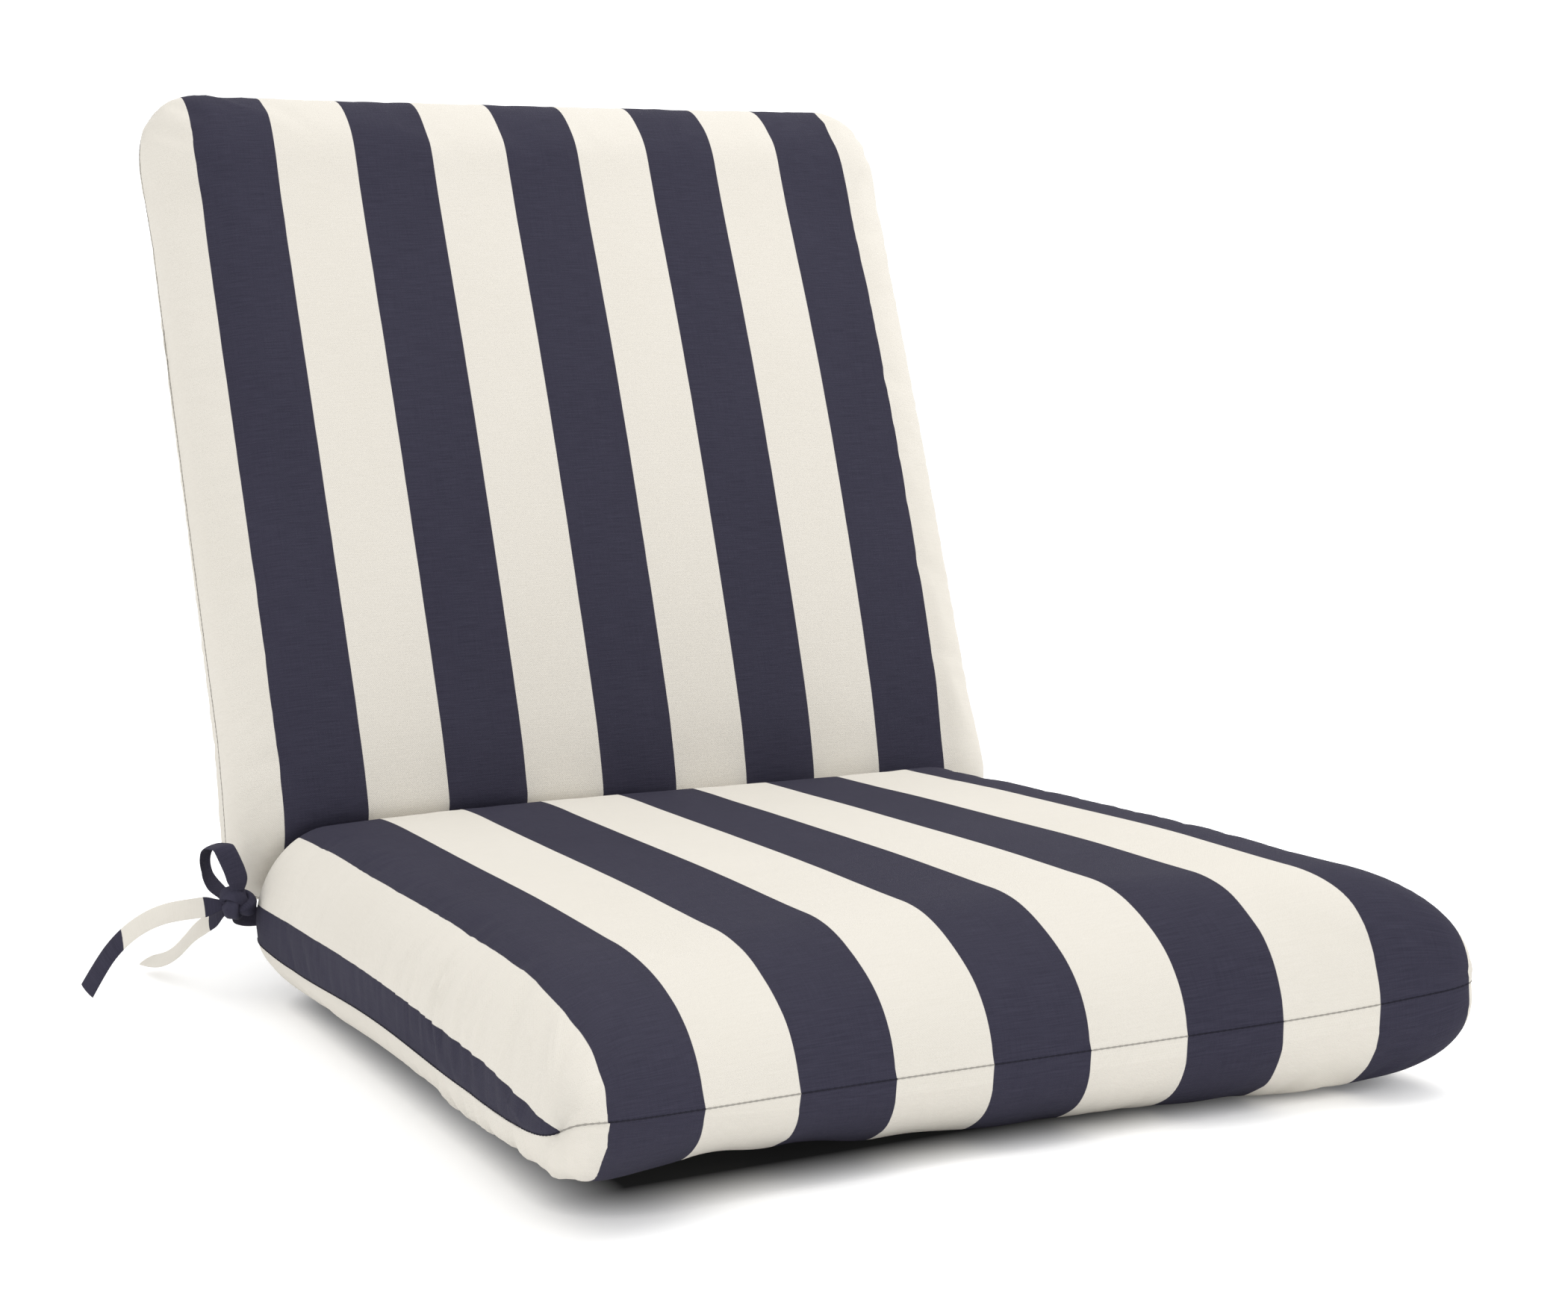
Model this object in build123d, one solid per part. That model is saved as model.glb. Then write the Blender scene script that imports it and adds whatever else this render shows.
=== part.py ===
from build123d import *
import os
from math import atan2, cos, degrees, pi, radians, sin, tan

# Hinged chair cushion: a stuffed seat section and a stuffed back section, joined by a fabric strip that
# folds along both of its edges, with tie tapes sewn into the two ends of the hinge.
# Millimetres. +X to the right as seen from the front, +Y to the rear, +Z up.
# Origin: centre of the seat section's flat underside.

os.makedirs("parts", exist_ok=True)

# ---- Driving dimensions ----
WIDTH = 508.0               # both sections, side seam to side seam
SEAT_DEPTH = 512.0          # front seam to hinge seam
SEAT_ABOVE_SEAM = 58.5      # seam to sitting face
SEAT_BELOW_SEAM = 46.5      # seam to underside
BACK_HEIGHT = 523.0         # hinge seam to top seam
BACK_AHEAD_OF_SEAM = 45.0   # seam to leaning face
BACK_BEHIND_SEAM = 46.0     # seam to rear face
RECLINE = 19.4              # lean of the back from upright, at rest, in degrees
CORNER_RADIUS = 40.0        # outline corners, seen square on
UPPER_EDGE_ROUND = 36.0     # roll of the cloth from a main face into the side, sitting side
LOWER_EDGE_ROUND = 34.0     # the same on the underside and rear
ROUND_MARGIN = 3.0          # a roll stays this much below the corner radius and the height it has

CLOTH = 1.0                 # woven cover
SEAM_ALLOWANCE = 10.0       # cloth turned in at the seams
FIBRE_WRAP = 14.0           # fibre layer around the core
THREAD_WIDTH = 0.8
THREAD_HEIGHT = 0.4

STRIP_FREE_WIDTH = 12.0     # hinge strip between its two fold lines
STRIP_THICKNESS = 0.8       # two layers, pressed
STRIP_CAUGHT = 12.0         # how far each edge reaches into its seam
STRIP_END_SETBACK = 0.0     # strip ends short of the outline's corner curve

TIE_DIAMETER = 5.0          # round stand-in section of the folded 12 mm tape
TIE_WIDTH = 12.0
TIE_THICKNESS = 0.8
KNOT_RADIUS = 9.3
KNOT_OUTSIDE = 10.0         # knot's centre beyond the side seam
KNOT_AHEAD = 35.0           # knot's centre ahead of the hinge seam
KNOT_ABOVE = {"left": 17.5, "right": 13.5}      # knot's centre above the seam
TIE_ANGLE = 20.0            # where the tie leaves the rear corner curve, from the side towards the rear
TIE_OUTSIDE = 7.0           # flat tape end outside the seam before it turns up to the knot

# ---- Clearances ----
PANEL_GAP = 0.05            # each panel's hem from the seam plane
LAYER_GAP = 0.2             # between cover, fibre and core
FOLD_GAP = 0.35             # strip's rounded edge to what it turns in
CREASE_GAP = 0.4            # between the two sections where they press together
SLOT_GAP = 0.1              # tape or strip to the hem it is sewn between
THREAD_GAP = 0.05           # seam thread to the hem that it lies on
HEM_HEADROOM = 0.25         # fibre to the seam thread

STRIP_HALF_LENGTH = WIDTH / 2 - CORNER_RADIUS - STRIP_END_SETBACK
SEAM_START = STRIP_THICKNESS / 2 + FOLD_GAP      # sections begin this far from their fold line
FAR = 3 * max(WIDTH, SEAT_DEPTH, BACK_HEIGHT)    # larger than the object, for cutting tools


# ---- Layout of the hinge in the Y-Z plane ----
def step(point, length, angle):
    """Point a given length away in the Y-Z plane, along an angle in degrees from +Y towards +Z."""
    return (point[0] + length * cos(radians(angle)), point[1] + length * sin(radians(angle)))


OPENING = 90.0 - RECLINE                # turn from the rest pose to lying flat
WEB_ANGLE = OPENING / 2                 # the strip takes half of the bend at each edge
SEAT_FOLD = (SEAT_DEPTH / 2, SEAT_BELOW_SEAM)
BACK_FOLD = step(SEAT_FOLD, STRIP_FREE_WIDTH, WEB_ANGLE)
HINGE_CENTRE = step(SEAT_FOLD, STRIP_FREE_WIDTH / 2, WEB_ANGLE)


def crease_corner():
    """Where the plane of the sitting face meets the plane of the leaning face."""
    top = SEAT_BELOW_SEAM + SEAT_ABOVE_SEAM
    y, z = step(BACK_FOLD, BACK_AHEAD_OF_SEAM, OPENING + 90)
    return (y + (top - z) / tan(radians(OPENING)), top)


# Middle of the strip in either section's own frame: just beyond its fold line, and above its seam plane
STRIP_MIDDLE = step((0, 0), STRIP_FREE_WIDTH / 2, 180 - WEB_ANGLE)
CREASE = crease_corner()
CREASE_ANGLE = degrees(atan2(CREASE[1] - HINGE_CENTRE[1], CREASE[0] - HINGE_CENTRE[0]))

# A section's own frame has its fold line as origin, Y away from the hinge and Z to the side that is sat on.
SEAT_PLACE = Location((0, SEAT_FOLD[0], SEAT_FOLD[1]), (0, 0, 180))
BACK_PLACE = Location((0, BACK_FOLD[0], BACK_FOLD[1]), (OPENING, 0, 0))


class Section:
    """One stuffed section, described in its own frame."""

    def __init__(self, length, above, below, place, crease_turn):
        self.length = length
        self.above = above
        self.below = below
        self.place = place
        self.crease_turn = crease_turn  # crease plane's angle from the section's own Y

    def outline(self, inset, low, high):
        """Prism of the section's outline, drawn in by inset, between two heights."""
        width = WIDTH - 2 * inset
        length = self.length - SEAM_START - 2 * inset
        face = RectangleRounded(width, length, CORNER_RADIUS - inset)
        middle = SEAM_START + inset + length / 2
        return Pos(0, middle, low) * extrude(face, high - low)

    def beyond_crease(self, inset):
        """Everything past the plane in which the two sections press together, itself drawn in by inset."""
        turn = radians(self.crease_turn)
        away = CREASE_GAP / 2 + inset
        pivot = (STRIP_MIDDLE[0] + away * sin(turn), STRIP_MIDDLE[1] - away * cos(turn))
        return Pos(0, *pivot) * Rot(self.crease_turn, 0, 0) * Pos(0, 0, FAR / 2) * Box(FAR, FAR, FAR)

    def pad(self, inset):
        """The stuffed shape, drawn in by inset on every side: rolled edges, and flat where it is pressed."""
        largest = min(CORNER_RADIUS, self.above, self.below) - ROUND_MARGIN
        body = self.outline(inset, -self.below + inset, self.above - inset)
        body = fillet(body.faces().sort_by(Axis.Z)[-1].edges(), min(UPPER_EDGE_ROUND, largest) - inset)
        body = fillet(body.faces().sort_by(Axis.Z)[0].edges(), min(LOWER_EDGE_ROUND, largest) - inset)
        return body - self.beyond_crease(inset)

    def ring(self, outer, inner, low, high):
        """Band that follows the outline between two insets."""
        return self.outline(outer, low, high) - self.outline(inner, low - 1, high + 1)


def slab(low, high):
    """Everything between two heights of a section's frame."""
    return Pos(0, 0, (low + high) / 2) * Box(FAR, 2 * FAR, high - low)


SEAT = Section(SEAT_DEPTH, SEAT_ABOVE_SEAM, SEAT_BELOW_SEAM, SEAT_PLACE, 180 - CREASE_ANGLE)
BACK = Section(BACK_HEIGHT, BACK_AHEAD_OF_SEAM, BACK_BEHIND_SEAM, BACK_PLACE, CREASE_ANGLE - OPENING)


# ---- Ties ----
def knot_centre(side):
    """Just outside the side seam, a little ahead of the hinge and above the seam."""
    sign = -1 if side == "left" else 1
    y = SEAT_FOLD[0] - KNOT_AHEAD
    return Vector(sign * (WIDTH / 2 + KNOT_OUTSIDE), y, SEAT_FOLD[1] + KNOT_ABOVE[side])


# Routes of the tapes, measured from the centre of their knot. The first point is inside the knot.
ROUTES = {
    "left_tie_loop": [
        (0, -3, 5), (2, -9, 17), (1, 1, 29), (-4, 19, 33), (-9, 33, 24), (-7, 28, 9), (-1, 6, 2),
    ],
    "left_tie_long_tail": [
        (-5, 1, -0.5), (-20, 8, -4), (-36, 17, -8), (-48, 27, -16), (-58, 37, -28), (-66, 47, -42),
        (-72, 56, -60),
    ],
    "left_tie_short_tail": [
        (-2, 6, -5), (-8, 22, -14), (-12, 43, -23), (-15, 66, -34), (-17, 90, -45), (-18, 115, -55),
        (-17, 139, -60),
    ],
    "right_tie_loop": [
        (1, -4, -6), (4, -11, -18), (6, -9, -34), (8, 5, -44), (9, 19, -36), (7, 19, -20), (3, 7, -6),
    ],
    "right_tie_long_tail": [
        (1, 6, 2), (4, 20, -2), (7, 35, -14), (10, 51, -29), (13, 70, -43), (12, 92, -54),
        (5, 114, -56), (4, 136, -55),
    ],
    "right_tie_short_tail": [
        (5, -2, -2), (18, -7, -12), (27, -9, -26), (33, -5, -41), (37, 5, -53), (36, 20, -56),
    ],
}
ARC_SHARE = 0.45            # how much of a run an arc may take


def bend_radii(points):
    """Radius of the tangent arc at each inner point, from its shorter run and its turn."""
    radii = []
    for before, here, after in zip(points, points[1:], points[2:]):
        arriving = here - before
        leaving = after - here
        half_turn = radians(arriving.get_angle(leaving)) / 2
        radii.append(ARC_SHARE * min(arriving.length, leaving.length) / tan(half_turn))
    return radii


def tape_tube(name, centre, knot):
    """Tube along a tie's route, trimmed where it enters its knot."""
    points = [centre + Vector(*p) for p in ROUTES[name]]
    radii = bend_radii(points)
    path = FilletPolyline(*points, radius=radii)
    section = Plane(origin=path @ 0, z_dir=path % 0) * Circle(TIE_DIAMETER / 2)
    tube = sweep(section, path=path)
    expected = pi * (TIE_DIAMETER / 2) ** 2 * path.length
    print(name, "length %.1f mm," % path.length, "radii", ["%.1f" % r for r in radii],
          "volume / (section x length) %.4f" % (tube.volume / expected))
    return tube - knot


def tie_corner(side):
    """Centre of the seat outline's rear corner curve on one side, and the tie's direction from it."""
    sign = -1 if side == "left" else 1
    x = sign * (WIDTH / 2 - CORNER_RADIUS)
    y = SEAT_FOLD[0] - SEAM_START - CORNER_RADIUS
    turn = radians(TIE_ANGLE)
    return Vector(x, y, SEAT_FOLD[1]), Vector(sign * cos(turn), sin(turn), 0)


def tie_end(side, thickness, width, reach_in, reach_out):
    """Flat tape end lying in the seat's seam plane, across the rear corner curve."""
    centre, outward = tie_corner(side)
    middle = centre + outward * (CORNER_RADIUS + (reach_out - reach_in) / 2)
    return Plane(origin=middle, x_dir=outward, z_dir=(0, 0, 1)) * Box(reach_in + reach_out, width, thickness)


def tie_root(side, knot):
    """Tape ends sewn into the seam, then turned up to the knot."""
    centre, outward = tie_corner(side)
    flat = tie_end(side, TIE_THICKNESS, TIE_WIDTH, SEAM_ALLOWANCE - 1, TIE_OUTSIDE)
    foot = centre + outward * (CORNER_RADIUS + TIE_OUTSIDE - TIE_DIAMETER / 2)
    rise = knot_centre(side) - foot
    riser = Plane(origin=foot, z_dir=rise) * extrude(Circle(TIE_DIAMETER / 2), rise.length)
    return flat + riser - knot


# ---- Build the two sections ----
def tie_slots(section):
    """Room between the panels for the tape ends, in the section's frame (seat only)."""
    if section is not SEAT:
        return []
    reach_in = SEAM_ALLOWANCE - 1 + SLOT_GAP
    slots = []
    for side in KNOT_ABOVE:
        slot = tie_end(side, TIE_THICKNESS + 2 * SLOT_GAP, TIE_WIDTH + 2 * SLOT_GAP, reach_in, TIE_OUTSIDE)
        slots.append(section.place.inverse() * slot)
    return slots


def strip_edge(gap):
    """Edge of the hinge strip inside a seam, or with a gap, the room that is left for it."""
    reach = STRIP_CAUGHT - SEAM_START
    box = Box(2 * (STRIP_HALF_LENGTH + gap), reach + gap, STRIP_THICKNESS + 2 * gap)
    return Pos(0, SEAM_START + (reach + gap) / 2, 0) * box


def section_parts(section, upper_name, lower_name, prefix):
    """Cover panels, seam thread, fibre layers and core of one section."""
    cover = section.pad(0) - section.pad(CLOTH)
    rooms = [Pos(0, -1, 0) * strip_edge(SLOT_GAP), strip_edge(SLOT_GAP)] + tie_slots(section)
    thread_inset = CLOTH + (SEAM_ALLOWANCE - THREAD_WIDTH) / 2
    thread_low = PANEL_GAP + CLOTH + THREAD_GAP
    thread_high = thread_low + THREAD_HEIGHT
    parts = {}
    threads = []
    for name, sign in ((upper_name, 1), (lower_name, -1)):
        side = slab(PANEL_GAP, FAR) if sign > 0 else slab(-FAR, -PANEL_GAP)
        hem_span = sorted((sign * PANEL_GAP, sign * (PANEL_GAP + CLOTH)))
        hem = section.ring(CLOTH / 2, CLOTH + SEAM_ALLOWANCE, *hem_span)
        panel = (cover & side) + hem
        for room in rooms:
            panel = panel - room
        parts[prefix + name + "_panel"] = panel
        span = sorted((sign * thread_low, sign * thread_high))
        thread = section.ring(thread_inset, thread_inset + THREAD_WIDTH, *span)
        threads.append(section.place * thread.solid())

    outer = CLOTH + LAYER_GAP
    inner = outer + FIBRE_WRAP
    fibre = section.pad(outer) - section.pad(inner)
    clear = thread_high + HEM_HEADROOM
    parts[prefix + upper_name + "_fibre"] = fibre & slab(clear, FAR)
    parts[prefix + lower_name + "_fibre"] = fibre & slab(-FAR, -clear)
    parts[prefix + "foam_core"] = section.pad(inner + LAYER_GAP)
    placed = {name: section.place * shape for name, shape in parts.items()}
    placed[prefix + "seam_thread"] = Compound(children=threads)
    return placed


nodes = {}
nodes.update(section_parts(SEAT, "top", "bottom", "seat_"))
nodes.update(section_parts(BACK, "front", "rear", "back_"))

# ---- Hinge strip ----
strip_profile = SlotCenterToCenter(STRIP_FREE_WIDTH, STRIP_THICKNESS)
strip_plane = Plane.YZ * Pos(*HINGE_CENTRE) * Rot(0, 0, WEB_ANGLE)
nodes["hinge_strip"] = extrude(strip_plane * strip_profile, STRIP_HALF_LENGTH, both=True)
nodes["hinge_strip_seat_edge"] = SEAT.place * strip_edge(0)
nodes["hinge_strip_back_edge"] = BACK.place * strip_edge(0)

# ---- Ties ----
for side in KNOT_ABOVE:
    centre = knot_centre(side)
    knot = Pos(*centre) * Sphere(KNOT_RADIUS)
    nodes[side + "_tie_knot"] = knot
    nodes[side + "_tie_root"] = tie_root(side, knot)
    for tape in ("loop", "long_tail", "short_tail"):
        name = side + "_tie_" + tape
        nodes[name] = tape_tube(name, centre, knot)

for name, shape in nodes.items():
    export_step(shape, "parts/" + name + ".step")

print("seat fold line Y, Z", SEAT_FOLD, "back fold line Y, Z", BACK_FOLD)
print("crease corner", CREASE, "crease angle", CREASE_ANGLE, "turn to flat per fold", WEB_ANGLE)
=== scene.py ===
"""Looks of a hinged chair cushion: two stuffed sections in striped cloth, a cloth hinge and ties.

Lengths are in metres. X runs across the cushion, Y from its front edge towards its back, Z up.
"""

import math

import bpy
import numpy as np
from mathutils import Matrix, Vector


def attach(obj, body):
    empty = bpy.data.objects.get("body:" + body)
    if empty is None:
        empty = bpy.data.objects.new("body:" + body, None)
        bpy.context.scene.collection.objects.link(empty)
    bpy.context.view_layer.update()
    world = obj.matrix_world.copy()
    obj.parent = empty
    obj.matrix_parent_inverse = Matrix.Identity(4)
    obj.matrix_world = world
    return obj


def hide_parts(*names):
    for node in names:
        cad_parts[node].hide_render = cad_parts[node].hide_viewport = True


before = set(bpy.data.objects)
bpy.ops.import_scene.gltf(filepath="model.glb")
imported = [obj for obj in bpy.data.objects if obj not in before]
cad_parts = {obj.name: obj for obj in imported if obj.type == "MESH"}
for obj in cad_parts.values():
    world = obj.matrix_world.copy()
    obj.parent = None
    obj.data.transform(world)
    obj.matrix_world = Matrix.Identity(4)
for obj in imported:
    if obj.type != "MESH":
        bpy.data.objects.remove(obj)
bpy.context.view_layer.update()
scene = bpy.context.scene
scene.view_settings.view_transform = "Standard"

# ------------------------------------------------------------------ camera
CAMERA_PLACE = (-0.5975, -1.2261, 0.3494)
CAMERA_YAW, CAMERA_PITCH, CAMERA_ROLL = (math.radians(a) for a in (25.52, 5.786, 1.434))
CAMERA_LENS, CAMERA_SENSOR = 58.71, 36.0


def camera_axes(yaw, pitch, roll):
    """Right, up and backward axes of a camera turned from +Y towards +X by yaw, down by pitch, and rolled."""
    forward = np.array([math.sin(yaw) * math.cos(pitch), math.cos(yaw) * math.cos(pitch), -math.sin(pitch)])
    level = np.array([math.cos(yaw), -math.sin(yaw), 0.0])
    down = np.cross(forward, level)
    right = math.cos(roll) * level + math.sin(roll) * down
    below = -math.sin(roll) * level + math.cos(roll) * down
    return right, -below, -forward


camera = bpy.data.objects.new("camera", bpy.data.cameras.new("camera"))
scene.collection.objects.link(camera)
turned = np.eye(4)
turned[:3, :3] = np.stack(camera_axes(CAMERA_YAW, CAMERA_PITCH, CAMERA_ROLL), axis=1)
turned[:3, 3] = CAMERA_PLACE
camera.matrix_world = Matrix(turned.tolist())
camera.data.lens, camera.data.sensor_width = CAMERA_LENS, CAMERA_SENSOR
camera.data.clip_start, camera.data.clip_end = 0.05, 100.0
scene.camera = camera


# ------------------------------------------------------------------ materials
class Value:
    """A shader socket that arithmetic can be written on: each operator adds one Math node."""

    def __init__(self, tree, socket):
        self.tree, self.socket = tree, socket

    def maths(self, operation, *others, clamp=False):
        node = self.tree.nodes.new("ShaderNodeMath")
        node.operation, node.use_clamp = operation, clamp
        for k, other in enumerate((self, *others)):
            if isinstance(other, Value):
                self.tree.links.new(other.socket, node.inputs[k])
            else:
                node.inputs[k].default_value = other
        return Value(self.tree, node.outputs[0])

    def __add__(self, other):
        return self.maths("ADD", other)

    def __sub__(self, other):
        return self.maths("SUBTRACT", other)

    def __rsub__(self, other):
        return (self * -1.0) + other

    def __mul__(self, other):
        return self.maths("MULTIPLY", other)

    __radd__, __rmul__ = __add__, __mul__

    def clamped(self):
        """The value held between 0 and 1."""
        return self.maths("ADD", 0.0, clamp=True)

    def ramp(self, low, high):
        """0 below low and 1 above high, in a straight line between."""
        return ((self - low) * (1.0 / (high - low))).clamped()


class Finish:
    """One material and the ways its nodes are added."""

    def __init__(self, name, roughness=0.9, **constants):
        self.material = bpy.data.materials.new(name)
        self.material.use_nodes = True
        self.tree = self.material.node_tree
        self.tree.nodes.clear()
        self.output = self.tree.nodes.new("ShaderNodeOutputMaterial")
        self.shader = self.tree.nodes.new("ShaderNodeBsdfPrincipled")
        self.tree.links.new(self.shader.outputs[0], self.output.inputs[0])
        self.shader.inputs["Roughness"].default_value = roughness
        for socket, value in constants.items():
            self.shader.inputs[socket.replace("_", " ")].default_value = value

    def node(self, kind, settings=(), **sockets):
        """Adds a node of that kind, sets its settings, then gives its sockets values or links."""
        node = self.tree.nodes.new(kind)
        for key, value in dict(settings).items():
            setattr(node, key, value)
        for key, value in sockets.items():
            socket = node.inputs[int(key[1:])] if key[1:].isdigit() else node.inputs[key.replace("_", " ")]
            if isinstance(value, Value):
                self.tree.links.new(value.socket, socket)
            else:
                socket.default_value = value
        return node

    def out(self, node, name=0):
        return Value(self.tree, node.outputs[name])

    def mix(self, share, low, high):
        """A colour between low and high, each a colour or a socket."""
        node = self.node("ShaderNodeMix", {"data_type": "RGBA"}, s0=share)
        for k, colour in ((6, low), (7, high)):
            if isinstance(colour, Value):
                self.tree.links.new(colour.socket, node.inputs[k])
            else:
                node.inputs[k].default_value = (*colour, 1.0)
        return self.out(node, 2)

    def noise(self, place, scale, detail=2.0, roughness=0.5):
        return self.out(self.node("ShaderNodeTexNoise", Vector=place, Scale=scale, Detail=detail,
                                  Roughness=roughness), 0)

    def scaled(self, place, scale):
        return self.out(self.node("ShaderNodeVectorMath", {"operation": "MULTIPLY"}, s0=place, s1=scale))

    def feed(self, colour=None, roughness=None, height=None, depth=0.0001):
        if colour is not None:
            self.tree.links.new(colour.socket, self.shader.inputs["Base Color"])
        if roughness is not None:
            self.tree.links.new(roughness.socket, self.shader.inputs["Roughness"])
        if height is not None:
            bump = self.node("ShaderNodeBump", Height=height, Distance=depth, Strength=1.0)
            self.tree.links.new(bump.outputs[0], self.shader.inputs["Normal"])
        return self.material


# The width of one stripe, and the spacing of the yarns.
STRIPE, YARN = 0.050, 0.00062
WHITE, WHITE_DEEP = (0.63, 0.60, 0.545), (0.575, 0.545, 0.485)
NAVY, NAVY_PALE = (0.023, 0.0215, 0.036), (0.040, 0.038, 0.059)
# How noise is stretched: into slubs across the cloth, threads along it, and broad blotches.
SLUBS, THREADS, BLOTCHES = (55.0, 1500.0, 1.0), (1400.0, 40.0, 1.0), (9.0, 7.0, 1.0)
# How far a stripe's edge wanders with the threads, and how soft it is, as shares of two stripes.
EDGE_WANDER, EDGE_BLUR = 0.004, 0.0015
# The seam's thread takes the cloth's stripes with painted shade: both colours darkened by this factor because
# it lies in a groove.
PAINTED_GROOVE_SHADE = 0.45


def woven(finish, cloth, across, along):
    """Plain weave: warp and weft threads swell where they cross over, and each thread's tone drifts.

    The weave is half the product of two sines, one across and one along, plus a half.
    """
    warp = (across * (math.pi / YARN)).maths("SINE")
    weft = (along * (math.pi / YARN)).maths("SINE")
    weave = (warp * weft) * 0.5 + 0.5
    slub = finish.noise(finish.scaled(cloth, SLUBS), 1.0, 3.0, 0.6)
    thread = finish.noise(finish.scaled(cloth, THREADS), 1.0, 2.0, 0.55)
    return weave, slub, thread


def striped_cloth(name, painted_shade_factor=1.0):
    """Woven stripes: navy where the cloth's width coordinate is within a quarter period of a navy centre.

    The period is two stripes, and the first navy centre is at 0. The last argument is a factor that darkens
    both colours, as painted shade.
    """
    finish = Finish(name, 0.92, Specular_IOR_Level=0.12)
    cloth = finish.out(finish.node("ShaderNodeUVMap", {"uv_map": "cloth"}))
    split = finish.node("ShaderNodeSeparateXYZ", Vector=cloth)
    across, along = finish.out(split, 0), finish.out(split, 1)
    weave, slub, thread = woven(finish, cloth, across, along)
    from_centre = ((across * (0.5 / STRIPE) + 0.5).maths("FRACT") - 0.5).maths("ABSOLUTE")
    white = (from_centre + (thread - 0.5) * EDGE_WANDER).ramp(0.25 - EDGE_BLUR, 0.25 + EDGE_BLUR)
    blotch = finish.noise(finish.scaled(cloth, BLOTCHES), 1.0, 2.0)
    # Painted shade: both stripe colours are multiplied by the darkening factor, which is 1 for cloth in the
    # open.
    navy_tones, white_tones = ([tuple(c * painted_shade_factor for c in colour) for colour in pair]
                               for pair in ((NAVY, NAVY_PALE), (WHITE, WHITE_DEEP)))
    navy = finish.mix((slub * 1.6 + thread * 0.5 + blotch * 0.5 - 0.85).clamped(), *navy_tones)
    pale = finish.mix((slub * 0.9 + blotch * 0.7 - 0.45).clamped(), *white_tones)
    height = weave * 0.5 + slub * 0.7 + thread * 0.4
    return finish.feed(finish.mix(white, navy, pale), slub * 0.12 + 0.80, height, 0.00022)


def hinge_cloth():
    """The same weave in one off-white."""
    finish = Finish("hinge_cloth", 0.85, Sheen_Weight=0.1, Specular_IOR_Level=0.25)
    place = finish.out(finish.node("ShaderNodeTexCoord"), "Object")
    split = finish.node("ShaderNodeSeparateXYZ", Vector=place)
    weave, slub, _ = woven(finish, place, finish.out(split, 0), finish.out(split, 1))
    colour = finish.mix(slub, (0.76, 0.73, 0.66), (0.68, 0.65, 0.58))
    return finish.feed(colour, slub * 0.1 + 0.80, weave * 0.5 + slub * 0.7, 0.0002)


def fibre_finish():
    """Lofted polyester fibre: white, cloudy and matt."""
    finish = Finish("polyester_fibre", 0.95)
    place = finish.out(finish.node("ShaderNodeTexCoord"), "Object")
    cloud = finish.noise(place, 90.0, 5.0, 0.7)
    strand = finish.noise(finish.scaled(place, (900.0, 160.0, 600.0)), 1.0, 3.0)
    colour = finish.mix(cloud, (0.72, 0.73, 0.74), (0.88, 0.88, 0.88))
    return finish.feed(colour, cloud * 0.1 + 0.85, cloud + strand * 0.5, 0.0012)


def foam_finish():
    """Open-cell foam: pale cream with fine pores."""
    finish = Finish("foam", 0.92)
    place = finish.out(finish.node("ShaderNodeTexCoord"), "Object")
    cells = finish.out(finish.node("ShaderNodeTexVoronoi", Vector=place, Scale=700.0), 0)
    tone = finish.noise(place, 30.0)
    colour = finish.mix(tone, (0.74, 0.68, 0.48), (0.82, 0.77, 0.58))
    return finish.feed(colour, cells * 0.2 + 0.75, cells, 0.0006)


# Painted shadow on the floor, where the cushion shuts the light off: the middle and half width of that dark
# patch across and along, and how far it fades beyond them.
PAINTED_SHADOW_PATCH, PAINTED_SHADOW_FADE = ((-0.004, 0.186), (0.010, 0.205)), 0.045


def floor_finish():
    """Smooth pale studio floor that glows faintly, except in the patch under the cushion, which is painted
    dark as its shadow.
    """
    finish = Finish("pale_floor", 0.9, Specular_IOR_Level=0.1, Emission_Strength=0.16)
    place = finish.out(finish.node("ShaderNodeTexCoord"), "Object")
    split = finish.node("ShaderNodeSeparateXYZ", Vector=place)
    beyond = [((finish.out(split, k) - middle).maths("ABSOLUTE") - half).maths("MAXIMUM", 0.0)
              for k, (middle, half) in enumerate(PAINTED_SHADOW_PATCH)]
    off = (beyond[0] * beyond[0] + beyond[1] * beyond[1]).maths("SQRT").ramp(0.0, PAINTED_SHADOW_FADE)
    # Painted shadow: near black in the patch and pale outside it. The glow takes the same tone, so the patch
    # glows less.
    tone = finish.mix(off, (0.03, 0.03, 0.03), (0.96, 0.96, 0.96))
    finish.tree.links.new(tone.socket, finish.shader.inputs["Emission Color"])
    return finish.feed(tone)


# The thread's material is the striped cloth darkened with painted groove shade.
STRIPED, THREAD = striped_cloth("striped_cloth"), striped_cloth("seam_thread", PAINTED_GROOVE_SHADE)
FIBRE, FOAM, HINGE_CLOTH = fibre_finish(), foam_finish(), hinge_cloth()


# ------------------------------------------------------------------ mesh makers
def mesh_piece(name, points, faces, material, uv=None):
    """A smooth-shaded mesh object from points and faces; uv has one pair for each point."""
    mesh = bpy.data.meshes.new(name)
    mesh.from_pydata(np.asarray(points, float).tolist(), [], [list(map(int, face)) for face in faces])
    if uv is not None:
        layer = mesh.uv_layers.new(name="cloth")
        corner = np.zeros(len(mesh.loops), np.int32)
        mesh.loops.foreach_get("vertex_index", corner)
        layer.data.foreach_set("uv", np.asarray(uv, np.float32)[corner].ravel())
    mesh.polygons.foreach_set("use_smooth", np.ones(len(mesh.polygons), bool))
    mesh.materials.append(material)
    mesh.update()
    piece = bpy.data.objects.new(name, mesh)
    scene.collection.objects.link(piece)
    return piece


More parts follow.
